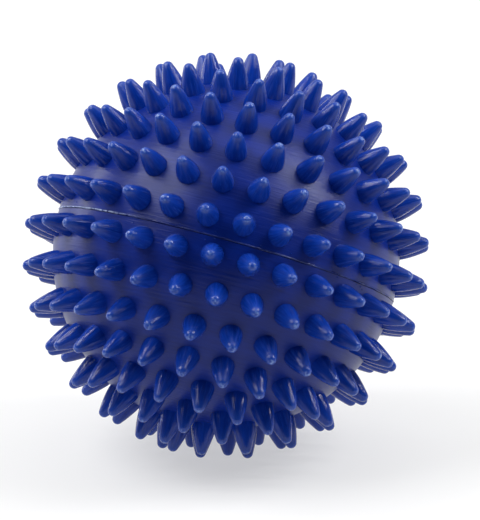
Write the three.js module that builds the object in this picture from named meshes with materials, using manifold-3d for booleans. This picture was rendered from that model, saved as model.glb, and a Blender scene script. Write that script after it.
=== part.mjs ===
// A hollow spiky massage ball. Two moulded half shells, each with its own spikes, meet at a seam that a
// bead of weld closes. A push-in plug shuts an air valve in the wall of the upper half. Millimetres, +Z up,
// origin at the centre of the ball.
import * as THREE from 'three';
import { mergeVertices } from 'three/addons/utils/BufferGeometryUtils.js';
import Module from 'manifold-3d';

const wasm = await Module();
wasm.setup();

// ---- Driving dimensions -----------------------------------------------------------------------------

const BALL_DIAMETER = 100; // over the tips of the spikes
const SPIKE_HEIGHT = 7.5;
const SPIKE_BASE_RADIUS = 2.95;
const SPIKE_NECK_RADIUS = 1.25; // where the flank ends and the rounded tip starts
const SPIKE_TIP_HEIGHT = 0.85; // height of the rounded tip, drawn as a low cone
const SPIKE_BULGE = 1.6; // power of the flank's curve: 1 is a straight cone, and 2 a parabola
const SPIKE_BELLY_SHARE = 0.6; // how far up to the neck the flank changes its slope
const SPIKE_SIDES = 6;
const SPIKE_ROOT = 1.2; // how far a spike is rooted in the wall

const TIP_RADIUS = BALL_DIAMETER / 2;
const CORE_RADIUS = TIP_RADIUS - SPIKE_HEIGHT;
const WALL = 2.5;
const INNER_RADIUS = CORE_RADIUS - WALL;
const SHELL_SECTORS = 28;
const OUTER_STEPS = 7; // from the seam to the pole
const INNER_STEPS = 5;

// The spikes stand in rows parallel to the seam, nearly evenly spaced along each row.
const ROW_SPACING = THREE.MathUtils.degToRad(12.3);
const SPIKE_PITCH = 10.6; // along a row, at the tips
// The turn of each row about the moulding axis, from the row nearest the seam to the row round the pole.
const UPPER_ROW_TURNS = [3, 5, 7.5, 9.5, 14, 1, 19];
const LOWER_ROW_TURNS = [8, 0.5, 10, 12, 7.5, 4, 55];

// The ball lies on three neighbouring spikes of the lower half, each named by its row and its place in it.
const FEET = [[4, 6], [4, 7], [5, 4]];
// The valve takes the place of one spike of the upper half.
const VALVE_SITE = [1, 15];

const CLEARANCE = 0.3; // between neighbouring pieces
const RIM_INNER_RADIUS = 38; // the wall is thicker along the seam
const RIM_HEIGHT = 3.5;
const RIM_SHOULDER = 2;
const TONGUE_INNER_RADIUS = 39.5;
const TONGUE_THICKNESS = 0.8;
const TONGUE_HEIGHT = 1.2;
const BEAD_DEPTH = 0.9; // how far the bead's groove goes into the wall
const BEAD_HALF_WIDTH = 0.45;
const BEAD_CROWN = 0.25; // how far the bead stands out of the wall

const VALVE_SIDES = 18;
const FLANGE_RADIUS = 5;
const FLANGE_FACE = 42.9; // distance of each valve face from the centre of the ball
const FLANGE_SEAT = 41.6;
const STEM_RADIUS = 3.6;
const LOCK_FACE = 38.9;
const LOCK_RADIUS = 4.7;
const LOCK_THICKNESS = 1.4;
const TUBE_RADIUS = 3;
const TUBE_END = 33.5;
const VALVE_BORE_RADIUS = 1.9;
const PLUG_RECESS_FLOOR = 41.8;
const PLUG_HEAD_RADIUS = 3;
const PLUG_FACE = 43.1;
const PLUG_SHANK_RADIUS = 1.55;
const PLUG_NOSE_RADIUS = 1.1;
const PLUG_END = 34;

// ---- Directions and attitude ------------------------------------------------------------------------

// Unit vector at a latitude and turn about the moulding axis, which is +Z before the ball is laid down.
function direction(latitude, turn) {
  const flat = Math.cos(latitude);
  return new THREE.Vector3(flat * Math.sin(turn), -flat * Math.cos(turn), Math.sin(latitude));
}

// The directions of one row's spikes. Side is 1 for the upper half and -1 for the lower half.
function rowDirections(side, row) {
  const latitude = (row + 0.5) * ROW_SPACING;
  const rowLength = 2 * Math.PI * TIP_RADIUS * Math.cos(latitude);
  const count = Math.round(rowLength / SPIKE_PITCH);
  const turns = side > 0 ? UPPER_ROW_TURNS : LOWER_ROW_TURNS;
  const start = THREE.MathUtils.degToRad(turns[row]);
  const spikes = [];
  for (let i = 0; i < count; i++) {
    spikes.push(direction(side * latitude, start + (i * 2 * Math.PI) / count));
  }
  return spikes;
}

// The turn that lays the ball on its three feet with the valve facing +Y.
function restingAttitude() {
  const [a, b, c] = FEET.map(([row, place]) => rowDirections(-1, row)[place]);
  const up = b.clone().sub(a).cross(c.clone().sub(a)).normalize();
  up.multiplyScalar(-Math.sign(up.dot(a)));
  const [valveRow, valvePlace] = VALVE_SITE;
  const y = rowDirections(1, valveRow)[valvePlace];
  const z = up.addScaledVector(y, -up.dot(y)).normalize();
  const x = new THREE.Vector3().crossVectors(y, z);
  const axes = new THREE.Matrix4().makeBasis(x, y, z);
  return new THREE.Quaternion().setFromRotationMatrix(axes).invert();
}

// ---- Joining and cutting solids ---------------------------------------------------------------------

function toSolid(geometry) {
  const bare = geometry.clone();
  bare.deleteAttribute('normal');
  bare.deleteAttribute('uv');
  const merged = mergeVertices(bare);
  return new wasm.Manifold(new wasm.Mesh({
    numProp: 3,
    vertProperties: new Float32Array(merged.attributes.position.array),
    triVerts: new Uint32Array(merged.index.array),
  }));
}

function toGeometry(solid) {
  const mesh = solid.getMesh();
  const geometry = new THREE.BufferGeometry();
  geometry.setAttribute('position', new THREE.BufferAttribute(mesh.vertProperties, mesh.numProp));
  geometry.setIndex(new THREE.BufferAttribute(mesh.triVerts, 1));
  geometry.computeVertexNormals();
  return geometry;
}

// A solid turned from a profile of [radius, height] points about +Z, then aimed along a direction.
function turned(profile, sides, aim = new THREE.Vector3(0, 0, 1)) {
  const points = profile.map(([radius, height]) => new THREE.Vector2(radius, height));
  const geometry = new THREE.LatheGeometry(points, sides);
  const lathe = new THREE.Vector3(0, 1, 0);
  geometry.applyQuaternion(new THREE.Quaternion().setFromUnitVectors(lathe, aim));
  return geometry;
}

// ---- Sub-parts --------------------------------------------------------------------------------------

// Points of a quarter circle from one angle above the seam to another.
function arc(radius, from, to, steps) {
  const points = [];
  for (let i = 0; i <= steps; i++) {
    const angle = from + ((to - from) * i) / steps;
    points.push([radius * Math.cos(angle), radius * Math.sin(angle)]);
  }
  return points;
}

// The section of a half shell from the pole's inside, along the joint face, to the pole's outside.
function shellProfile(jointFace) {
  const innerStart = Math.asin((RIM_HEIGHT + RIM_SHOULDER) / INNER_RADIUS);
  const outerStart = Math.asin((BEAD_HALF_WIDTH + CLEARANCE) / CORE_RADIUS);
  const inner = arc(INNER_RADIUS, Math.PI / 2, innerStart, INNER_STEPS);
  const outer = arc(CORE_RADIUS, outerStart, Math.PI / 2, OUTER_STEPS);
  inner[0][0] = 0;
  outer[outer.length - 1][0] = 0;
  const grooveWall = CORE_RADIUS - BEAD_DEPTH;
  return [
    ...inner,
    [RIM_INNER_RADIUS, RIM_HEIGHT],
    [RIM_INNER_RADIUS, CLEARANCE / 2],
    ...jointFace,
    [grooveWall, CLEARANCE / 2],
    [grooveWall, BEAD_HALF_WIDTH + CLEARANCE],
    ...outer,
  ];
}

// The upper half's joint face has a groove, and the lower half's has the tongue that stands in it.
function grooveProfile() {
  const inside = TONGUE_INNER_RADIUS - CLEARANCE;
  const outside = TONGUE_INNER_RADIUS + TONGUE_THICKNESS + CLEARANCE;
  const depth = TONGUE_HEIGHT + 2 * CLEARANCE;
  return [[inside, CLEARANCE / 2], [inside, depth], [outside, depth], [outside, CLEARANCE / 2]];
}

function tongueProfile() {
  const outside = TONGUE_INNER_RADIUS + TONGUE_THICKNESS;
  const root = CLEARANCE / 2;
  return [
    [TONGUE_INNER_RADIUS, root],
    [TONGUE_INNER_RADIUS, -TONGUE_HEIGHT],
    [outside, -TONGUE_HEIGHT],
    [outside, root],
  ];
}

// The flank of a spike rises square to the wall and narrows faster and faster up to the neck.
function flankRadius(shareOfNeck) {
  const taper = SPIKE_BASE_RADIUS - SPIKE_NECK_RADIUS;
  return SPIKE_BASE_RADIUS - taper * shareOfNeck ** SPIKE_BULGE;
}

function spike(aim) {
  const neck = SPIKE_HEIGHT - SPIKE_TIP_HEIGHT;
  const belly = neck * SPIKE_BELLY_SHARE;
  // A six-sided spike is drawn a little wide, so that it holds as much plastic as the round one.
  const corner = (2 * Math.PI) / SPIKE_SIDES;
  const widen = Math.sqrt(corner / Math.sin(corner));
  const profile = [
    [0, CORE_RADIUS - SPIKE_ROOT],
    [SPIKE_BASE_RADIUS * widen, CORE_RADIUS - SPIKE_ROOT],
    [flankRadius(SPIKE_BELLY_SHARE) * widen, CORE_RADIUS + belly],
    [SPIKE_NECK_RADIUS * widen, CORE_RADIUS + neck],
    [0, TIP_RADIUS],
  ];
  return toSolid(turned(profile, SPIKE_SIDES, aim));
}

// All spikes of one half: its rows, and one at the pole.
function spikeDirections(side) {
  const spikes = [new THREE.Vector3(0, 0, side)];
  for (let row = 0; row < UPPER_ROW_TURNS.length; row++) {
    rowDirections(side, row).forEach((aim, place) => {
      const isValve = side > 0 && row === VALVE_SITE[0] && place === VALVE_SITE[1];
      if (!isValve) spikes.push(aim);
    });
  }
  return spikes;
}

function halfShell(side) {
  const jointFace = side > 0 ? grooveProfile() : tongueProfile();
  const bowl = turned(shellProfile(jointFace), SHELL_SECTORS);
  if (side < 0) bowl.rotateX(Math.PI);
  return spikeDirections(side).reduce((solid, aim) => solid.add(spike(aim)), toSolid(bowl));
}

// The hole through the wall for the valve's stem, and the wider seat for its flange.
function valveHole(aim) {
  const stem = STEM_RADIUS + CLEARANCE;
  const flange = FLANGE_RADIUS + CLEARANCE;
  const seat = FLANGE_SEAT - CLEARANCE;
  const profile = [
    [0, TUBE_END],
    [stem, TUBE_END],
    [stem, seat],
    [flange, seat],
    [flange, TIP_RADIUS],
    [0, TIP_RADIUS],
  ];
  return toSolid(turned(profile, VALVE_SIDES, aim));
}

function seamBead() {
  const inside = CORE_RADIUS - BEAD_DEPTH + CLEARANCE;
  const shoulder = CORE_RADIUS;
  const crown = CORE_RADIUS + BEAD_CROWN;
  const profile = [
    [inside, -BEAD_HALF_WIDTH],
    [shoulder, -BEAD_HALF_WIDTH],
    [crown, 0],
    [shoulder, BEAD_HALF_WIDTH],
    [inside, BEAD_HALF_WIDTH],
    [inside, -BEAD_HALF_WIDTH],
  ];
  return turned(profile, SHELL_SECTORS);
}

// A soft grommet: flange outside the wall, lock ring inside it, and a tube that grips the plug.
function valveHousing(aim) {
  const lockEnd = LOCK_FACE - LOCK_THICKNESS;
  const recess = PLUG_HEAD_RADIUS + CLEARANCE;
  const profile = [
    [VALVE_BORE_RADIUS, PLUG_RECESS_FLOOR],
    [VALVE_BORE_RADIUS, TUBE_END],
    [TUBE_RADIUS, TUBE_END],
    [TUBE_RADIUS, lockEnd],
    [LOCK_RADIUS, lockEnd],
    [LOCK_RADIUS, LOCK_FACE],
    [STEM_RADIUS, LOCK_FACE],
    [STEM_RADIUS, FLANGE_SEAT],
    [FLANGE_RADIUS, FLANGE_SEAT],
    [FLANGE_RADIUS, FLANGE_FACE],
    [recess, FLANGE_FACE],
    [recess, PLUG_RECESS_FLOOR],
    [VALVE_BORE_RADIUS, PLUG_RECESS_FLOOR],
  ];
  return turned(profile, VALVE_SIDES, aim);
}

function valvePlug(aim) {
  const headSeat = PLUG_RECESS_FLOOR + CLEARANCE;
  const taper = 2 * PLUG_NOSE_RADIUS;
  const profile = [
    [0, PLUG_END],
    [PLUG_NOSE_RADIUS, PLUG_END],
    [PLUG_SHANK_RADIUS, PLUG_END + taper],
    [PLUG_SHANK_RADIUS, headSeat],
    [PLUG_HEAD_RADIUS, headSeat],
    [PLUG_HEAD_RADIUS, PLUG_FACE],
    [0, PLUG_FACE],
  ];
  return turned(profile, VALVE_SIDES, aim);
}

// ---- Materials and assembly -------------------------------------------------------------------------

function plastic(color, roughness) {
  return new THREE.MeshStandardMaterial({ color, roughness, metalness: 0 });
}

function node(name, geometry, material) {
  const mesh = new THREE.Mesh(geometry, material);
  mesh.name = name;
  return mesh;
}

const blueShell = plastic(0x0d2d8b, 0.35);
const blueBead = plastic(0x2e4190, 0.3);
const blueValve = plastic(0x0f2474, 0.4);

const valveAim = rowDirections(1, VALVE_SITE[0])[VALVE_SITE[1]];
const upperHalf = halfShell(1).subtract(valveHole(valveAim));
const lowerHalf = halfShell(-1);

const ball = new THREE.Group();
ball.add(node('upper_half_shell', toGeometry(upperHalf), blueShell));
ball.add(node('lower_half_shell', toGeometry(lowerHalf), blueShell));
ball.add(node('seam_bead', seamBead(), blueBead));
ball.add(node('valve_housing', valveHousing(valveAim), blueValve));
ball.add(node('valve_plug', valvePlug(valveAim), blueValve));
ball.quaternion.copy(restingAttitude());

const massageBall = new THREE.Group();
massageBall.add(ball);

export default massageBall;
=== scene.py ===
import math
import random

import bpy
from mathutils import Matrix, Vector, noise
from mathutils.geometry import delaunay_2d_cdt


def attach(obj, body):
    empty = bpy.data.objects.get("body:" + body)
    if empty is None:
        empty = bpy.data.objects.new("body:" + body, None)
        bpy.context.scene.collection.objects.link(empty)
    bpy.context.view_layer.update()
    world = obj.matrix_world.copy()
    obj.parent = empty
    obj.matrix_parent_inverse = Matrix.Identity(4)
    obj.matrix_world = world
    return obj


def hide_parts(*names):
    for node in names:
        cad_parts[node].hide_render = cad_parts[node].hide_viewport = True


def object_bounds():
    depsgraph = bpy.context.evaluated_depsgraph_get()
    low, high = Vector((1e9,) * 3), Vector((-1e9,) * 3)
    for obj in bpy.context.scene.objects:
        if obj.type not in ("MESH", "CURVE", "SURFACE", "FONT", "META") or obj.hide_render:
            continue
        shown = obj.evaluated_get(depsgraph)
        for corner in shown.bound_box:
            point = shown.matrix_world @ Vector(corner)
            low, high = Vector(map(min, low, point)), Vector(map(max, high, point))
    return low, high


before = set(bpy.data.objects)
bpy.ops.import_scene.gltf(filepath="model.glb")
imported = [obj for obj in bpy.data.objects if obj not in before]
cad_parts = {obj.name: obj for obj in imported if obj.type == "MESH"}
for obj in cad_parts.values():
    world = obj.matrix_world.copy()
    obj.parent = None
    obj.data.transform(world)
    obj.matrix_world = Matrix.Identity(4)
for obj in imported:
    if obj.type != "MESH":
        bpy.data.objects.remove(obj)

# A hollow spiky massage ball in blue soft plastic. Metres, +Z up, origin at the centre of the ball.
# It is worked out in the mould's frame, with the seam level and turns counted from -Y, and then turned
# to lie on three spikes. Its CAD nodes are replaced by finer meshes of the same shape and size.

SEED = 7
cad_low, cad_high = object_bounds()
rng = random.Random(SEED)

# ---- Driving dimensions -----------------------------------------------------------------------------

MM = 0.001
TIP_RADIUS = 50 * MM
SPIKE_HEIGHT = 7.5 * MM
CORE_RADIUS = TIP_RADIUS - SPIKE_HEIGHT
WALL = 2.5 * MM
INNER_RADIUS = CORE_RADIUS - WALL

SPIKE_BASE_RADIUS = 2.95 * MM
SPIKE_TIP_ROUNDING = 1.35 * MM
SPIKE_BULGE = 1.5  # 1 would give a straight cone, and 2 a parabola
SPIKE_LEAN = 0.16 * MM  # the most that a tip stands off its true place
SPIKE_PLUMPNESS = 0.015  # how much spikes differ in width, as a share
SPIKE_SEGMENTS = 32
SHARP_ANGLE = math.radians(50)
FLANK_RINGS = 8
CAP_RINGS = 7
FIRST_SLOPE = 0.5  # of the flank where it meets the tip, found by rounds of correction from this
SLOPE_ROUNDS = 20
MARK_STARTS = 1000  # the marks of each spike start at one of so many places

COLLARS = [(0.3 * MM, SPIKE_SEGMENTS), (0.85 * MM, SPIKE_SEGMENTS // 2)]  # margin and points of each
SKIN_SPACING = 0.9 * MM
INSIDE_SPACING = 3 * MM
EDGE_MARGIN, HOLE_MARGIN = 0.6, 0.55  # how clear the skin's points stay of its edges, in spacings
MERGE_DISTANCE = 1e-7  # points of the flattened skin that are closer count as one
NEAR_POLE = 0.999  # a direction's height, from which the pole itself can't show which way is up

SPECKS = 28  # in each half
SPECK_RADIUS = (0.1 * MM, 0.24 * MM)
SPECK_EDGE = math.radians(0.8)  # how close to the seam a speck may stand
SPECK_SPREAD = math.radians(8)  # how far from the seam most of them stand
SPECK_SEGMENTS = 8
SPECK_STRAY_EVERY = 4  # one speck in so many stands anywhere, and the others near the seam
SPECK_HEIGHT_SHARE = (0.6, 1.2)  # of its radius
SPECK_SHOULDER = 0.7
SPECK_V = 0.01

ROW_SPACING = math.radians(12.3)
SPIKE_PITCH = 10.6 * MM
UPPER_ROW_TURNS = [3, 5, 7.5, 9.5, 14, 1, 19]
LOWER_ROW_TURNS = [8, 0.5, 10, 12, 7.5, 4, 55]
FEET = [(4, 6), (4, 7), (5, 4)]
VALVE_SITE = (1, 15)

SEAM_SEGMENTS = 480
SEAM_GAP = 0.15 * MM  # from the seam's plane to each joint face
SEAM_EDGE = {1: 0.21 * MM, -1: 0.36 * MM}  # from the seam's plane to the edge of each half's skin
SEAM_GROOVE_DEPTH = 0.9 * MM
BEAD_HALF_WIDTH = 0.2 * MM
BEAD_ROOT = 0.75 * MM
BEAD_LOW, BEAD_HIGH = 0.02 * MM, 0.2 * MM  # how far its ridge stands out of the skin
BEAD_SPREAD = 0.14 * MM  # how far it reaches towards the lower half in places
BEAD_WANDER = 0.07 * MM
FLASH_TURN = math.radians(-68)  # where the weld squeezed out the most plastic
FLASH_SPREAD = math.radians(24)
FLASH_HEIGHT = 0.3 * MM
FLASH_MIDDLE, FLASH_SWING = 0.6, 2  # its share left standing on average, and what noise adds or takes
BEAD_ARC = 6  # steps across the ridge
BEAD_V = 0.01
BEAD_SWELLS = ((9, 0.8), (37, 0.5))  # noise scale and share of the ridge's long and short swells
BEAD_MIDDLE = 0.45  # the ridge's average height, as a share of the way from its low to its high
WANDER_SCALE, SPREAD_SCALE, FLASH_SCALE = 14, 22, 26
# These shift two of the noises, so that the ridge's wander and spread don't follow its height.
WANDER_START = Vector((3, 1, 7))
SPREAD_START = Vector((5, 2, 1))
RIM_INNER_RADIUS = 38 * MM
RIM_HEIGHT = 3.5 * MM
RIM_SHOULDER = 2 * MM
TONGUE_INNER_RADIUS = 39.5 * MM
TONGUE_THICKNESS = 0.8 * MM
TONGUE_HEIGHT = 1.2 * MM
CLEARANCE = 0.3 * MM
HIDDEN_V = 0.001  # walls out of sight take next to none of the marks' length

VALVE_SEGMENTS = 64
# Radii, and the distances of faces and ends from the centre of the ball.
VALVE = {
    "flange_radius": 5 * MM,
    "flange_face": 42.9 * MM,
    "flange_seat": 41.6 * MM,
    "seat_radius": 5.15 * MM,
    "seat_floor": 41.45 * MM,
    "stem_radius": 3.6 * MM,
    "hole_radius": 3.9 * MM,
    "lock_face": 38.9 * MM,
    "lock_radius": 4.7 * MM,
    "lock_thickness": 1.4 * MM,
    "tube_radius": 3 * MM,
    "tube_end": 33.5 * MM,
    "bore_radius": 1.9 * MM,
    "recess_floor": 41.8 * MM,
    "recess_radius": 3.15 * MM,
}
PLUG = {
    "head_radius": 3 * MM,
    "head_seat": 42.1 * MM,
    "face": 43.1 * MM,
    "shank_radius": 1.55 * MM,
    "nose_radius": 1.1 * MM,
    "end": 34 * MM,
}
HOUSING_ROUNDING = 0.18 * MM
PLUG_ROUNDING = 0.22 * MM
MAX_CUT = 0.4  # the share of an edge that one rounded corner may take
CAP_V = 0.01  # the share of the marks' length that a turned piece's end takes

# ---- View, floor and light settings -----------------------------------------------------------------

# The camera's place round the ball in the mould's frame: latitude, and the lean of the ball's pole.
VIEW_LATITUDE = math.radians(-5.2)
VIEW_ROLL = math.radians(15.57)
VIEW_DISTANCE = 4.0
VIEW_HEIGHT = 127.45 * MM  # what the frame's long side spans at the ball
BALL_OFFSET = (-3.39 * MM, 1.10 * MM)  # the ball's place right of and above the frame's middle
SENSOR_WIDTH = 36
CLIP_RANGE = (0.1, 60)

# The floor is a sheet that glows a little as well, which keeps the shadow on it light.
FLOOR_REACH = 30
FLOOR_GREY = 0.36
FLOOR_GLOW = 0.52
FLOOR_ROUGHNESS = 0.9

# Each light's direction in the camera's axes (right, up, back), its length and width, and its watts.
LIGHT_DISTANCE = 1.4
LIGHTS = {
    "key_left": ((-0.6, 0.7, 0.48), (0.8, 0.8), 12),
    "key_right": ((0.66, 0.66, 0.37), (0.7, 0.7), 7.5),
    "strip_left": ((-0.57, 0.82, 0.1), (0.95, 0.09), 7),
    "strip_right": ((0.74, 0.64, 0.17), (1.0, 0.08), 9),
    "top": ((0.15, 0.97, 0.1), (0.9, 0.9), 4),
    "rim_left": ((-0.85, 0.25, -0.5), (1.2, 0.15), 6),
}

# The light tent's brightness, by how far a direction points towards its dark end, from -1 to 1.
TENT = [(-1, 0.62), (-0.6, 0.48), (-0.2, 0.36), (0.1, 0.22), (0.3, 0.18), (0.6, 0.01)]
TENT_LEAN = (0.22, -0.35)  # how far its dark end leans from the camera, to the right and up

# ---- Colours and marks ------------------------------------------------------------------------------

SKIN_BLUES = ((0.0003, 0.011, 0.145), (0.0008, 0.017, 0.2))
SPIKE_BLUES = ((0.0007, 0.021, 0.215), (0.0055, 0.041, 0.34))
BEAD_BLUES = ((0.002, 0.011, 0.13), (0.03, 0.05, 0.2))
VALVE_BLUES = ((0.003, 0.014, 0.15), (0.006, 0.022, 0.2))
# Painted sheen: the blue that the spikes pale to towards their tips, where the light lays its highlight.
TIP_SHEEN_BLUE = (0.011, 0.045, 0.29)
SCUFF_BLUE = (0.025, 0.08, 0.42)
# Tips turned pale by rubbing, whose pale specks also stand for painted glints.
RUBBED_GLINT_BLUE = (0.13, 0.21, 0.5)
# Weld flash turned white, whose flecks also stand for painted glints on the seam.
FLASH_GLINT_BLUE = (0.42, 0.5, 0.7)

PATCH_SCALE = 90.0
DOT_SCALE = 1400.0
GRAIN_SCALE = 1500.0
GRAIN_DEPTH = 0.007 * MM
BLEND_MEAN = 0.25  # of two noises multiplied, each of which averages a half
GLOSS_DROP, GLOSS_RISE = 0.06, 0.08  # how far the roughness strays each way

# Stretches of a spike, as shares of its height, and the noise levels between which each mark sets in.
# Where the painted sheen starts and where it is full, up a spike.
SHEEN_FROM, SHEEN_FULL = 0.5, 1.0
MARKS_END, MARKS_FULL = 0.97, 0.8
# Where the pale tip specks, whitening and painted glints both, start and are full.
RUB_GLINT_FROM, RUB_GLINT_FULL = 0.93, 1.0
SCUFFS_ACROSS, SCUFFS_ALONG = 60, 1.6
SCUFF_LOW, SCUFF_HIGH = 0.54, 0.8
DOT_LOW, DOT_HIGH = 0.4, 0.75
FLECKS_ALONG_SEAM = 190
FLECK_LOW, FLECK_HIGH = 0.4, 0.55
FLASH_GLINT_EDGE, FLASH_GLINT_FULL = 1.5, 0.7  # in spreads from the middle of the stretch turned white, whose flecks also stand for painted glints


# ---- Directions and attitude ------------------------------------------------------------------------

def direction(latitude, turn):
    """Unit vector at a latitude and turn about the mould's axis."""
    flat = math.cos(latitude)
    return Vector((flat * math.sin(turn), -flat * math.cos(turn), math.sin(latitude)))


def row_directions(side, row):
    """The directions of one row's spikes: side is 1 for the upper half, -1 for the lower."""
    latitude = (row + 0.5) * ROW_SPACING
    count = round(2 * math.pi * TIP_RADIUS * math.cos(latitude) / SPIKE_PITCH)
    turns = UPPER_ROW_TURNS if side > 0 else LOWER_ROW_TURNS
    start = math.radians(turns[row])
    return [direction(side * latitude, start + i * 2 * math.pi / count) for i in range(count)]


def spike_directions(side):
    """All spikes of one half. The valve takes the place of one in the upper half."""
    found = [Vector((0, 0, side))]
    for row in range(len(UPPER_ROW_TURNS)):
        for place, aim in enumerate(row_directions(side, row)):
            if side < 0 or (row, place) != VALVE_SITE:
                found.append(aim)
    return found


def resting_attitude():
    """The turn from the mould's frame to the row frame: on three feet, with the valve facing +Y."""
    a, b, c = (row_directions(-1, row)[place] for row, place in FEET)
    up = (b - a).cross(c - a).normalized()
    up *= -math.copysign(1, up.dot(a))
    y = row_directions(1, VALVE_SITE[0])[VALVE_SITE[1]]
    z = (up - y * up.dot(y)).normalized()
    x = y.cross(z)
    return Matrix((x, y, z))


ATTITUDE = resting_attitude()
VALVE_AIM = row_directions(1, VALVE_SITE[0])[VALVE_SITE[1]]


def tangents(aim):
    """Two unit vectors square to a direction, the first of them towards the pole."""
    pole = Vector((0, 0, 1)) if abs(aim.z) < NEAR_POLE else Vector((0, 1, 0))
    first = (pole - aim * pole.dot(aim)).normalized()
    return first, aim.cross(first)


# ---- Mesh building ----------------------------------------------------------------------------------

class Surface:
    """Vertices and faces of one mesh, with a UV and a material number for each face."""

    def __init__(self):
        self.points = []
        self.faces = []
        self.uvs = []
        self.materials = []
        self.u_start = 0  # shifts the marks along one band against those of the next

    def ring(self, centre, first, second, radius, count):
        """Adds a circle of points and returns their numbers."""
        start = len(self.points)
        for i in range(count):
            angle = 2 * math.pi * i / count
            self.points.append(centre + (first * math.cos(angle) + second * math.sin(angle)) * radius)
        return list(range(start, start + count))

    def face(self, corners, uvs, material=0):
        self.faces.append(corners)
        self.uvs.append(uvs)
        self.materials.append(material)

    def band(self, low, high, v_low, v_high, material=0):
        """Joins two rings of as many points with quads that face away from the axis, high on top."""
        count = len(low)
        for i in range(count):
            j = (i + 1) % count
            u, w = self.u_start + i / count, self.u_start + (i + 1) / count
            corners = (low[i], low[j], high[j], high[i])
            self.face(corners, ((u, v_low), (w, v_low), (w, v_high), (u, v_high)), material)

    def fan(self, ring, point, v_ring, v_point, material=0):
        """Closes a ring onto one point above it."""
        top = len(self.points)
        self.points.append(point)
        count = len(ring)
        for i in range(count):
            j = (i + 1) % count
            u, w = self.u_start + i / count, self.u_start + (i + 1) / count
            corners = (ring[i], ring[j], top)
            self.face(corners, ((u, v_ring), (w, v_ring), ((u + w) / 2, v_point)), material)

    def make(self, name, materials):
        """The finished object, turned into the row frame, smooth and with its materials."""
        mesh = bpy.data.meshes.new(name)
        mesh.from_pydata([ATTITUDE @ p for p in self.points], [], self.faces)
        layer = mesh.uv_layers.new(name="UVMap")
        flat = [value for uvs in self.uvs for uv in uvs for value in uv]
        layer.data.foreach_set("uv", flat)
        for material in materials:
            mesh.materials.append(material)
        mesh.polygons.foreach_set("material_index", self.materials)
        mesh.shade_smooth()
        mesh.set_sharp_from_angle(angle=SHARP_ANGLE)
        mesh.validate()
        made = bpy.data.objects.new(name, mesh)
        bpy.context.collection.objects.link(made)
        return made


def flattened(point, side):
    """Stereographic map of a half sphere onto a disc. It keeps circles as circles."""
    unit = point.normalized()
    return Vector((unit.x, side * unit.y)) / (1 + side * unit.z)


def surface_uv(point):
    """Turn about the mould's axis and latitude, as a share of a full turn each."""
    unit = point.normalized()
    return math.atan2(unit.x, -unit.y) / (2 * math.pi), math.asin(max(-1, min(1, unit.z))) / (2 * math.pi)


def fill_points(side, radius, spacing, edge, holes):
    """Evenly spread points of a half sphere, clear of its edge and of its holes."""
    points = []
    limits = [(hole, math.cos((size + spacing * HOLE_MARGIN) / radius)) for hole, size in holes]
    rows = int(math.pi / 2 * radius / spacing)
    for row in range(1, rows):
        latitude = row * spacing / radius
        if radius * math.sin(latitude) < edge + spacing * EDGE_MARGIN:
            continue
        count = max(3, round(2 * math.pi * radius * math.cos(latitude) / spacing))
        for i in range(count):
            turn = (i + 0.5 * (row % 2)) * 2 * math.pi / count
            aim = direction(side * latitude, turn)
            if all(aim.dot(hole) < closest for hole, closest in limits):
                points.append(aim * radius)
    return points


def sphere_patch(surface, side, edge_ring, hole_rings, extra, facing):
    """Skins the half sphere between an edge ring and its hole rings, through the extra points.

    Facing is 1 for a skin seen from outside the ball, and -1 for one seen from inside.
    """
    start = len(surface.points)
    surface.points.extend(extra)
    numbers = list(edge_ring) + [n for ring in hole_rings for n in ring]
    numbers += range(start, start + len(extra))
    ring_of = {n: k for k, ring in enumerate([edge_ring, *hole_rings]) for n in ring}
    place = {n: k for k, n in enumerate(numbers)}
    edges = []
    for ring in [edge_ring, *hole_rings]:
        edges += [(place[ring[i - 1]], place[ring[i]]) for i in range(len(ring))]
    flat = [flattened(surface.points[n], side) for n in numbers]
    # Ring 0 is the edge. A triangle with all its corners on one of the others lies in that hole.
    holes = set(range(1, len(hole_rings) + 1))
    _, _, triangles, origins, _, _ = delaunay_2d_cdt(flat, edges, [], 0, MERGE_DISTANCE)
    for triangle in triangles:
        corners = [numbers[origins[k][0]] for k in triangle]
        rings = {ring_of.get(n) for n in corners}
        if len(rings) == 1 and rings <= holes:
            continue
        a, b, c = (surface.points[n] for n in corners)
        if (b - a).cross(c - a).dot(a) * facing < 0:
            corners.reverse()
        # A face that crosses the end of the map is carried on past it.
        uvs = [surface_uv(surface.points[n]) for n in corners]
        longest = max(u for u, _ in uvs)
        uvs = [(u + 1 if longest - u > 0.5 else u, v) for u, v in uvs]
        surface.face(tuple(corners), uvs)


# ---- Half shells ------------------------------------------------------------------------------------

def spike_profile():
    """(height over the core, radius) pairs from just over a spike's foot to just under its tip.

    The flank narrows by a power of its height and runs on into the round of the tip.
    """
    rounding, slope = SPIKE_TIP_ROUNDING, FIRST_SLOPE
    for _ in range(SLOPE_ROUNDS):
        shoulder_height = SPIKE_HEIGHT - rounding * (1 - math.sin(slope))
        taper = SPIKE_BASE_RADIUS - rounding * math.cos(slope)
        slope = math.atan(SPIKE_BULGE * taper / shoulder_height)
    pairs = []
    for i in range(1, FLANK_RINGS + 1):
        share = i / FLANK_RINGS
        pairs.append((shoulder_height * share, SPIKE_BASE_RADIUS - taper * share ** SPIKE_BULGE))
    for i in range(1, CAP_RINGS):
        angle = slope + (math.pi / 2 - slope) * i / CAP_RINGS
        pairs.append((SPIKE_HEIGHT - rounding * (1 - math.sin(angle)), rounding * math.cos(angle)))
    return pairs


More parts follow.
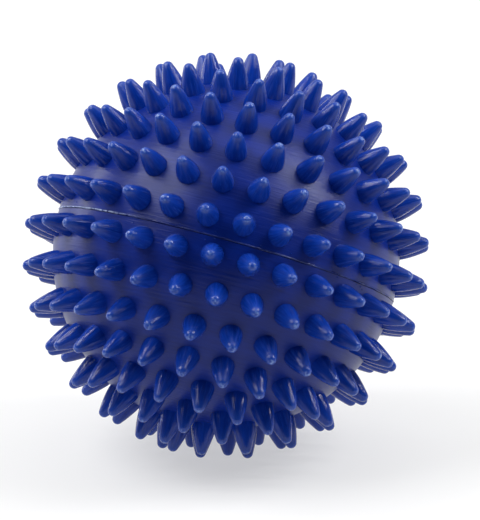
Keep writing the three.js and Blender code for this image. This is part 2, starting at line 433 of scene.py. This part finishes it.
def add_spike(surface, aim, foot, plump):
    """Stands one spike on its foot ring, which lies in the core's skin."""
    first, second = tangents(aim)
    angle, reach = rng.uniform(0, 2 * math.pi), rng.uniform(0, SPIKE_LEAN)
    lean = (first * math.cos(angle) + second * math.sin(angle)) * reach
    surface.u_start = rng.randrange(MARK_STARTS)
    below, v_below = foot, 0.0
    for height, radius in spike_profile():
        share = height / SPIKE_HEIGHT
        centre = aim * (CORE_RADIUS + height) + lean * share
        ring = surface.ring(centre, first, second, radius * plump, SPIKE_SEGMENTS)
        surface.band(below, ring, v_below, share, 1)
        below, v_below = ring, share
    surface.fan(below, aim * TIP_RADIUS + lean, v_below, 1.0, 1)


def speck_places(side, holes):
    """(direction, radius) of the moulding specks of one half. Most of them are near the seam."""
    found = []
    while len(found) < SPECKS:
        spread = SPECK_SPREAD if len(found) % SPECK_STRAY_EVERY else math.pi / 2
        aim = direction(side * rng.uniform(SPECK_EDGE, spread), rng.uniform(0, 2 * math.pi))
        radius = rng.uniform(*SPECK_RADIUS)
        taken = [*holes, *found]
        if all(aim.angle(other) > (size + radius) / CORE_RADIUS for other, size in taken):
            found.append((aim, radius))
    return found


def add_speck(surface, aim, radius, foot):
    """Stands a small nub of stray plastic on its foot ring."""
    first, second = tangents(aim)
    height = radius * rng.uniform(*SPECK_HEIGHT_SHARE)
    middle = aim * (CORE_RADIUS + height * SPECK_SHOULDER)
    shoulder = surface.ring(middle, first, second, radius * SPECK_SHOULDER, SPECK_SEGMENTS)
    surface.band(foot, shoulder, 0, SPECK_V, 1)
    surface.fan(shoulder, aim * (CORE_RADIUS + height), SPECK_V, 2 * SPECK_V, 1)


def circle_on(surface, aim, radius, sphere, count):
    """A ring of points round a direction, on a sphere."""
    first, second = tangents(aim)
    return surface.ring(aim * math.sqrt(sphere ** 2 - radius ** 2), first, second, radius, count)


def level_ring(surface, side, radius, height):
    """A ring round the mould's axis, at a height over the seam on one side of it."""
    centre = Vector((0, 0, side * height))
    return surface.ring(centre, Vector((1, 0, 0)), Vector((0, side, 0)), radius, SEAM_SEGMENTS)


def joint_section(side):
    """(radius, height) corners of the joint face, from the seam's groove to the inside of the rim."""
    # The lower half's tongue stands past the seam, and the upper half's groove takes it with clearance.
    groove_wall = CORE_RADIUS - SEAM_GROOVE_DEPTH
    inside, outside = TONGUE_INNER_RADIUS, TONGUE_INNER_RADIUS + TONGUE_THICKNESS
    reach = -TONGUE_HEIGHT
    if side > 0:
        inside, outside = inside - CLEARANCE, outside + CLEARANCE
        reach = TONGUE_HEIGHT + 2 * CLEARANCE
    return [
        (groove_wall, SEAM_EDGE[side]),
        (groove_wall, SEAM_GAP),
        (outside, SEAM_GAP),
        (outside, reach),
        (inside, reach),
        (inside, SEAM_GAP),
        (RIM_INNER_RADIUS, SEAM_GAP),
        (RIM_INNER_RADIUS, RIM_HEIGHT),
    ]


def outer_skin(surface, side, edge):
    """The core's skin with its spikes and specks. Returns the valve's mouth, or None without a valve."""
    aims = spike_directions(side)
    plump = [rng.uniform(1 - SPIKE_PLUMPNESS, 1 + SPIKE_PLUMPNESS) for _ in aims]
    feet = [
        circle_on(surface, aim, SPIKE_BASE_RADIUS * width, CORE_RADIUS, SPIKE_SEGMENTS)
        for aim, width in zip(aims, plump)
    ]
    rings = list(feet)
    holes = [(aim, SPIKE_BASE_RADIUS + COLLARS[-1][0]) for aim in aims]
    mouth = None
    if side > 0:
        mouth = circle_on(surface, VALVE_AIM, VALVE["seat_radius"], CORE_RADIUS, VALVE_SEGMENTS)
        rings.append(mouth)
        holes.append((VALVE_AIM, VALVE["seat_radius"]))
    specks = speck_places(side, holes)
    nubs = [circle_on(surface, aim, radius, CORE_RADIUS, SPECK_SEGMENTS) for aim, radius in specks]
    fill = fill_points(side, CORE_RADIUS, SKIN_SPACING, SEAM_EDGE[side], holes + specks)
    sphere_patch(surface, side, edge, rings + nubs, collar_points(aims) + fill, 1)
    for aim, foot, width in zip(aims, feet, plump):
        add_spike(surface, aim, foot, width)
    for (aim, radius), foot in zip(specks, nubs):
        add_speck(surface, aim, radius, foot)
    return mouth


def collar_points(aims):
    """Rings of points round the foot of each spike, which keep the skin even there."""
    collars = Surface()
    for aim in aims:
        for margin, count in COLLARS:
            circle_on(collars, aim, SPIKE_BASE_RADIUS + margin, CORE_RADIUS, count)
    return collars.points


def joint_walls(surface, side, edge):
    """The walls from the skin's edge along the joint face to the inner skin. Returns its edge."""
    below = edge
    for radius, height in joint_section(side):
        ring = level_ring(surface, side, radius, height)
        surface.band(ring, below, 0, HIDDEN_V)
        below = ring
    shoulder = RIM_HEIGHT + RIM_SHOULDER
    inner_edge = level_ring(surface, side, math.sqrt(INNER_RADIUS ** 2 - shoulder ** 2), shoulder)
    surface.band(inner_edge, below, 0, HIDDEN_V)
    return inner_edge


def inner_skin(surface, side, inner_edge, mouth):
    """The hollow side of the wall, with the valve's hole through it in the upper half."""
    rings = []
    holes = []
    if mouth:
        rings.append(valve_hole(surface, mouth))
        holes.append((VALVE_AIM, VALVE["hole_radius"]))
    fill = fill_points(side, INNER_RADIUS, INSIDE_SPACING, RIM_HEIGHT + RIM_SHOULDER, holes)
    sphere_patch(surface, side, inner_edge, rings, fill, -1)


def half_shell(name, side, materials):
    """One moulded half with its spikes, its wall and its joint face."""
    surface = Surface()
    height = SEAM_EDGE[side]
    edge = level_ring(surface, side, math.sqrt(CORE_RADIUS ** 2 - height ** 2), height)
    mouth = outer_skin(surface, side, edge)
    inner_edge = joint_walls(surface, side, edge)
    inner_skin(surface, side, inner_edge, mouth)
    return surface.make(name, materials)


# ---- Valve ------------------------------------------------------------------------------------------

def valve_hole(surface, mouth):
    """Walls of the flange's seat and the stem's hole. Returns the ring on the inside of the shell."""
    first, second = tangents(VALVE_AIM)
    above = mouth
    for radius in (VALVE["seat_radius"], VALVE["hole_radius"]):
        ring = surface.ring(VALVE_AIM * VALVE["seat_floor"], first, second, radius, VALVE_SEGMENTS)
        surface.band(above, ring, 0, HIDDEN_V)
        above = ring
    inside = circle_on(surface, VALVE_AIM, VALVE["hole_radius"], INNER_RADIUS, VALVE_SEGMENTS)
    surface.band(above, inside, 0, HIDDEN_V)
    return inside


def rounded(corners, radius, closed):
    """An outline of (radius, height) corners with each corner cut to a small arc of three points."""
    count = len(corners)
    outline = []
    for i, corner in enumerate(corners):
        here = Vector(corner)
        if not closed and i in (0, count - 1):
            outline.append(here)
            continue
        before, after = Vector(corners[i - 1]), Vector(corners[(i + 1) % count])
        reach = min(radius, (before - here).length * MAX_CUT, (after - here).length * MAX_CUT)
        start = here + (before - here).normalized() * reach
        end = here + (after - here).normalized() * reach
        outline += [start, (start + end + here * 2) / 4, end]
    return outline


def turned_piece(name, corners, rounding, closed, materials):
    """A piece turned about the valve's axis, from its outline. A closed outline gives a ring."""
    surface = Surface()
    first, second = tangents(VALVE_AIM)
    outline = rounded(corners, rounding, closed)
    rings = []
    for point in outline:
        if point.x > 0:
            rings.append(surface.ring(VALVE_AIM * point.y, first, second, point.x, VALVE_SEGMENTS))
    for i in range(len(rings) - 1):
        surface.band(rings[i], rings[i + 1], i / len(rings), (i + 1) / len(rings))
    if closed:
        surface.band(rings[-1], rings[0], 1 - CAP_V, 1)
    else:
        surface.fan(rings[-1], VALVE_AIM * outline[-1].y, 1 - CAP_V, 1)
        # The first ring is turned round, so that the cap on it faces the other way.
        start = [rings[0][0], *reversed(rings[0][1:])]
        surface.fan(start, VALVE_AIM * outline[0].y, CAP_V, 0)
    return surface.make(name, materials)


def valve_housing(materials):
    v = VALVE
    lock_end = v["lock_face"] - v["lock_thickness"]
    corners = [
        (v["bore_radius"], v["recess_floor"]),
        (v["bore_radius"], v["tube_end"]),
        (v["tube_radius"], v["tube_end"]),
        (v["tube_radius"], lock_end),
        (v["lock_radius"], lock_end),
        (v["lock_radius"], v["lock_face"]),
        (v["stem_radius"], v["lock_face"]),
        (v["stem_radius"], v["flange_seat"]),
        (v["flange_radius"], v["flange_seat"]),
        (v["flange_radius"], v["flange_face"]),
        (v["recess_radius"], v["flange_face"]),
        (v["recess_radius"], v["recess_floor"]),
    ]
    return turned_piece("valve_grommet", corners, HOUSING_ROUNDING, True, materials)


def valve_plug(materials):
    p = PLUG
    corners = [
        (0, p["end"]),
        (p["nose_radius"], p["end"]),
        (p["shank_radius"], p["end"] + 2 * p["nose_radius"]),
        (p["shank_radius"], p["head_seat"]),
        (p["head_radius"], p["head_seat"]),
        (p["head_radius"], p["face"]),
        (0, p["face"]),
    ]
    return turned_piece("valve_stopper", corners, PLUG_ROUNDING, False, materials)


# ---- Seam bead --------------------------------------------------------------------------------------

def clamped(value):
    return max(0, min(1, value))


def bead_section(out):
    """(radius, height) outline of the bead at one direction out from the mould's axis."""
    swell = sum(noise.noise(out * scale) * share for scale, share in BEAD_SWELLS)
    crown = BEAD_LOW + (BEAD_HIGH - BEAD_LOW) * clamped(BEAD_MIDDLE + swell)
    from_flash = out.angle(direction(0, FLASH_TURN)) / FLASH_SPREAD
    broken = clamped(FLASH_MIDDLE + FLASH_SWING * noise.noise(out * FLASH_SCALE))
    crown += FLASH_HEIGHT * math.exp(-from_flash ** 2) * broken
    wander = BEAD_WANDER * noise.noise(out * WANDER_SCALE + WANDER_START)
    low = -BEAD_HALF_WIDTH - BEAD_SPREAD * max(0, noise.noise(out * SPREAD_SCALE + SPREAD_START))
    high = BEAD_HALF_WIDTH
    outline = [(CORE_RADIUS - BEAD_ROOT, low)]
    for k in range(BEAD_ARC + 1):
        across = k / BEAD_ARC
        arch = 4 * across * (1 - across)
        outline.append((CORE_RADIUS + crown * arch, low + (high - low) * across + wander * arch))
    outline.append((CORE_RADIUS - BEAD_ROOT, high))
    return outline


def seam_bead(materials):
    """The thin bead of weld. Its ridge swells and thins along the seam, so its glints are broken."""
    surface = Surface()
    count = SEAM_SEGMENTS * 2
    rings = [[] for _ in bead_section(Vector((1, 0, 0)))]
    for i in range(count):
        turn = 2 * math.pi * i / count
        out = Vector((math.sin(turn), -math.cos(turn), 0))
        for ring, (radius, height) in zip(rings, bead_section(out)):
            ring.append(len(surface.points))
            surface.points.append(out * radius + Vector((0, 0, height)))
    for low, high in zip(rings, rings[1:] + rings[:1]):
        surface.band(low, high, 0, BEAD_V)
    return surface.make("seam_weld", materials)


# ---- Materials --------------------------------------------------------------------------------------

def node(tree, kind, **inputs):
    """Adds a shader node and sets its inputs by name."""
    made = tree.nodes.new(kind)
    for name, value in inputs.items():
        made.inputs[name.replace("_", " ")].default_value = value
    return made


def link(tree, source, output, target, socket):
    tree.links.new(source.outputs[output], target.inputs[socket])


def lines_along(tree, coords, across, along):
    """A noise drawn out along the UV map: so many streaks across it, so many breaks along it."""
    stretch = node(tree, "ShaderNodeMapping", Scale=(across, along, 1))
    link(tree, coords, "UV", stretch, "Vector")
    lines = node(tree, "ShaderNodeTexNoise", Scale=1.0, Detail=3.0, Roughness=0.6)
    link(tree, stretch, "Vector", lines, "Vector")
    return lines


def rise(tree, source, output, low, high):
    """A smooth step of one value, from 0 at low to 1 at high."""
    step = node(tree, "ShaderNodeMapRange", From_Min=low, From_Max=high, To_Min=0.0, To_Max=1.0)
    step.interpolation_type = "SMOOTHSTEP"
    link(tree, source, output, step, "Value")
    return step


def combine(tree, operation, first, first_output, second, second_output):
    maths = node(tree, "ShaderNodeMath")
    maths.operation = operation
    link(tree, first, first_output, maths, 0)
    link(tree, second, second_output, maths, 1)
    return maths


def tint(tree, base, colour, amount, output):
    """Mixes a colour into a base colour by an amount from another node."""
    mix = node(tree, "ShaderNodeMixRGB", Color2=(*colour, 1))
    link(tree, amount, output, mix, "Fac")
    link(tree, base, "Color", mix, "Color1")
    return mix


def two_blues(tree, patches, lines, deep, pale, contrast):
    """A ramp between two blues, by patches and lines together."""
    blend = combine(tree, "MULTIPLY", patches, "Fac", lines, "Fac")
    ramp = node(tree, "ShaderNodeValToRGB")
    low, high = ramp.color_ramp.elements
    low.position, low.color = BLEND_MEAN - contrast, (*deep, 1)
    high.position, high.color = BLEND_MEAN + contrast, (*pale, 1)
    link(tree, blend, "Value", ramp, "Fac")
    return ramp


def map_parts(tree, coords):
    """The UV map's two shares: X round or along the seam, and Y up a spike."""
    parts = node(tree, "ShaderNodeSeparateXYZ")
    link(tree, coords, "UV", parts, "Vector")
    return parts


def worn_and_sheen(tree, coords, blue):
    """The look of the spikes: paler upwards, which is painted sheen, with fine scuffs along them and tips
    whose rubbing leaves pale specks that are whitening and painted glints both.
    """
    parts = map_parts(tree, coords)
    # Painted sheen: the blue pales towards the tip, where the light lays its highlight.
    upper = rise(tree, parts, "Y", SHEEN_FROM, SHEEN_FULL)
    blue = tint(tree, blue, TIP_SHEEN_BLUE, upper, "Result")
    scuffs = lines_along(tree, coords, SCUFFS_ACROSS, SCUFFS_ALONG)
    sparse = rise(tree, scuffs, "Fac", SCUFF_LOW, SCUFF_HIGH)
    blue = tint(tree, blue, SCUFF_BLUE, sparse, "Result")
    dots = node(tree, "ShaderNodeTexNoise", Scale=DOT_SCALE, Detail=2.0)
    link(tree, coords, "Object", dots, "Vector")
    spots = rise(tree, dots, "Fac", DOT_LOW, DOT_HIGH)
    # Pale specks at the very tips: whitening and painted glints both.
    tip = rise(tree, parts, "Y", RUB_GLINT_FROM, RUB_GLINT_FULL)
    rubbed_glints = combine(tree, "MULTIPLY", spots, "Result", tip, "Result")
    return tint(tree, blue, RUBBED_GLINT_BLUE, rubbed_glints, "Value")


def flash_and_glints(tree, coords, blue):
    """The look of the seam's bead: turned white in flecks where the weld pressed out the most plastic,
    and these flecks stand for painted glints as well.
    """
    parts = map_parts(tree, coords)
    # X runs once round the seam from 0 to 1, so a turn the other way is counted back from 1.
    middle = FLASH_TURN / (2 * math.pi) + 1
    reach = FLASH_SPREAD / (2 * math.pi)
    start = rise(tree, parts, "X", middle - FLASH_GLINT_EDGE * reach, middle - FLASH_GLINT_FULL * reach)
    end = rise(tree, parts, "X", middle + FLASH_GLINT_EDGE * reach, middle + FLASH_GLINT_FULL * reach)
    along = combine(tree, "MULTIPLY", start, "Result", end, "Result")
    spots = lines_along(tree, coords, FLECKS_ALONG_SEAM, 1)
    flecks = rise(tree, spots, "Fac", FLECK_LOW, FLECK_HIGH)
    # The white flecks are flash and painted glints both.
    whitened_glints = combine(tree, "MULTIPLY", along, "Value", flecks, "Result")
    return tint(tree, blue, FLASH_GLINT_BLUE, whitened_glints, "Value")


def uneven_gloss(tree, patches, roughness, shader):
    """Varies the roughness a little from patch to patch."""
    gloss = node(tree, "ShaderNodeMapRange", To_Min=roughness - GLOSS_DROP, To_Max=roughness + GLOSS_RISE)
    link(tree, patches, "Fac", gloss, "Value")
    link(tree, gloss, "Result", shader, "Roughness")


def fine_relief(tree, coords, lines, depth, shader):
    """A fine grain all over, and on it the drawn-out marks, which fade before a spike's tip."""
    fine = node(tree, "ShaderNodeTexNoise", Scale=GRAIN_SCALE, Detail=2.0)
    link(tree, coords, "Object", fine, "Vector")
    grain = node(tree, "ShaderNodeBump", Distance=GRAIN_DEPTH)
    link(tree, fine, "Fac", grain, "Height")
    clear_of_tip = rise(tree, map_parts(tree, coords), "Y", MARKS_END, MARKS_FULL)
    drawn = combine(tree, "MULTIPLY", lines, "Fac", clear_of_tip, "Result")
    relief = node(tree, "ShaderNodeBump", Distance=depth)
    link(tree, drawn, "Value", relief, "Height")
    link(tree, grain, "Normal", relief, "Normal")
    link(tree, relief, "Normal", shader, "Normal")


def plastic(name, blues, ior, roughness, contrast, depth, streaks, wear_and_painted_light=None):
    """Soft vinyl in two close blues. Its streaks are how many marks its map has across and along it."""
    material = bpy.data.materials.new(name)
    material.use_nodes = True
    tree = material.node_tree
    shader = tree.nodes["Principled BSDF"]
    shader.inputs["IOR"].default_value = ior
    coords = node(tree, "ShaderNodeTexCoord")
    patches = node(tree, "ShaderNodeTexNoise", Scale=PATCH_SCALE, Detail=4.0, Roughness=0.6)
    link(tree, coords, "Object", patches, "Vector")
    lines = lines_along(tree, coords, *streaks)
    blue = two_blues(tree, patches, lines, *blues, contrast)
    # Some materials add marks on top of their blues, painted sheen and glints among them.
    if wear_and_painted_light:
        blue = wear_and_painted_light(tree, coords, blue)
    link(tree, blue, "Color", shader, "Base Color")
    uneven_gloss(tree, patches, roughness, shader)
    fine_relief(tree, coords, lines, depth, shader)
    return material


SKIN = plastic(
    "ball_skin", SKIN_BLUES, ior=1.31, roughness=0.33, contrast=0.16, depth=0.09 * MM, streaks=(26, 420)
)
SPIKES = plastic(
    "spike_vinyl",
    SPIKE_BLUES,
    ior=1.36,
    roughness=0.1,
    contrast=0.12,
    depth=0.13 * MM,
    streaks=(26, 0.8),
    wear_and_painted_light=worn_and_sheen,
)
BEAD = plastic(
    "seam_vinyl",
    BEAD_BLUES,
    ior=1.3,
    roughness=0.22,
    contrast=0.09,
    depth=0.02 * MM,
    streaks=(160, 2),
    wear_and_painted_light=flash_and_glints,
)
VALVE_BLUE = plastic(
    "valve_vinyl", VALVE_BLUES, ior=1.3, roughness=0.36, contrast=0.16, depth=0.01 * MM, streaks=(30, 3)
)


# ---- Assembly ---------------------------------------------------------------------------------------

def place(made, body, stands_for, slot):
    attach(made, body)
    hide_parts(stands_for)


place(half_shell("upper_half", 1, [SKIN, SPIKES]), "ball", "upper_half_shell", "blue_shell")
place(half_shell("lower_half", -1, [SKIN, SPIKES]), "ball", "lower_half_shell", "blue_shell")
place(seam_bead([BEAD]), "ball", "seam_bead", "blue_bead")
place(valve_housing([VALVE_BLUE]), "ball", "valve_housing", "blue_valve")
place(valve_plug([VALVE_BLUE]), "plug", "valve_plug", "blue_valve")


# ---- Camera, floor and light ------------------------------------------------------------------------

def view_axes():
    """The camera's right, up and back directions in the row frame."""
    back = direction(VIEW_LATITUDE, 0)
    pole = Vector((0, 0, 1))
    level_up = (pole - back * pole.dot(back)).normalized()
    level_right = level_up.cross(back)
    right = level_right * math.cos(VIEW_ROLL) + level_up * math.sin(VIEW_ROLL)
    up = level_up * math.cos(VIEW_ROLL) - level_right * math.sin(VIEW_ROLL)
    return ATTITUDE @ right, ATTITUDE @ up, ATTITUDE @ back


RIGHT, UP, BACK = view_axes()


def pose_at(point, x, y, z):
    """The matrix that stands an object at a point with the given axes."""
    pose = Matrix((x, y, z)).transposed().to_4x4()
    pose.translation = point
    return pose


def add_camera():
    data = bpy.data.cameras.new("camera")
    data.sensor_width = SENSOR_WIDTH
    data.lens = SENSOR_WIDTH * VIEW_DISTANCE / VIEW_HEIGHT
    data.clip_start, data.clip_end = CLIP_RANGE
    camera = bpy.data.objects.new("camera", data)
    bpy.context.collection.objects.link(camera)
    aim = -RIGHT * BALL_OFFSET[0] - UP * BALL_OFFSET[1]
    camera.matrix_world = pose_at(aim + BACK * VIEW_DISTANCE, RIGHT, UP, BACK)
    bpy.context.scene.camera = camera


def add_floor():
    """A wide pale floor just under the ball's feet."""
    mesh = bpy.data.meshes.new("floor")
    signs = ((-1, -1), (1, -1), (1, 1), (-1, 1))
    corners = [(x * FLOOR_REACH, y * FLOOR_REACH, cad_low.z) for x, y in signs]
    mesh.from_pydata(corners, [], [(0, 1, 2, 3)])
    floor = bpy.data.objects.new("floor", mesh)
    bpy.context.collection.objects.link(floor)
    material = bpy.data.materials.new("floor_paper")
    material.use_nodes = True
    shader = material.node_tree.nodes["Principled BSDF"]
    shader.inputs["Base Color"].default_value = (FLOOR_GREY, FLOOR_GREY, FLOOR_GREY, 1)
    shader.inputs["Emission Color"].default_value = (1, 1, 1, 1)
    shader.inputs["Emission Strength"].default_value = FLOOR_GLOW
    shader.inputs["Roughness"].default_value = FLOOR_ROUGHNESS
    mesh.materials.append(material)


def softbox(name, aim, size, power):
    """An area light that faces the ball. Its long side runs round the line of sight."""
    data = bpy.data.lights.new(name, "AREA")
    data.shape = "RECTANGLE"
    data.size, data.size_y = size
    data.energy = power
    light = bpy.data.objects.new(name, data)
    bpy.context.collection.objects.link(light)
    towards = (RIGHT * aim[0] + UP * aim[1] + BACK * aim[2]).normalized()
    along = BACK.cross(towards).normalized()
    across = towards.cross(along)
    light.matrix_world = pose_at(towards * LIGHT_DISTANCE, along, across, towards)
    light.visible_camera = False


def add_world():
    """A light tent: brightest behind the ball, dimmer at the sides, and dark towards the camera."""
    world = bpy.data.worlds.new("studio")
    bpy.context.scene.world = world
    world.use_nodes = True
    tree = world.node_tree
    backdrop = tree.nodes["Background"]
    coords = node(tree, "ShaderNodeTexCoord")
    facing = node(tree, "ShaderNodeVectorMath")
    facing.operation = "DOT_PRODUCT"
    dark_end = BACK + RIGHT * TENT_LEAN[0] + UP * TENT_LEAN[1]
    facing.inputs[1].default_value = dark_end.normalized()
    link(tree, coords, "Generated", facing, 0)
    spread = node(tree, "ShaderNodeMapRange", From_Min=-1.0, From_Max=1.0)
    link(tree, facing, "Value", spread, "Value")
    ramp = node(tree, "ShaderNodeValToRGB")
    stops = ramp.color_ramp.elements
    for towards_dark, _ in TENT[1:-1]:
        stops.new((towards_dark + 1) / 2)
    for stop, (towards_dark, bright) in zip(stops, TENT):
        stop.position = (towards_dark + 1) / 2
        stop.color = (bright, bright, bright, 1)
    link(tree, spread, "Result", ramp, "Fac")
    link(tree, ramp, "Color", backdrop, "Color")


add_camera()
add_floor()
add_world()
for name, (aim, size, power) in LIGHTS.items():
    softbox(name, aim, size, power)
bpy.context.scene.view_settings.view_transform = "Standard"
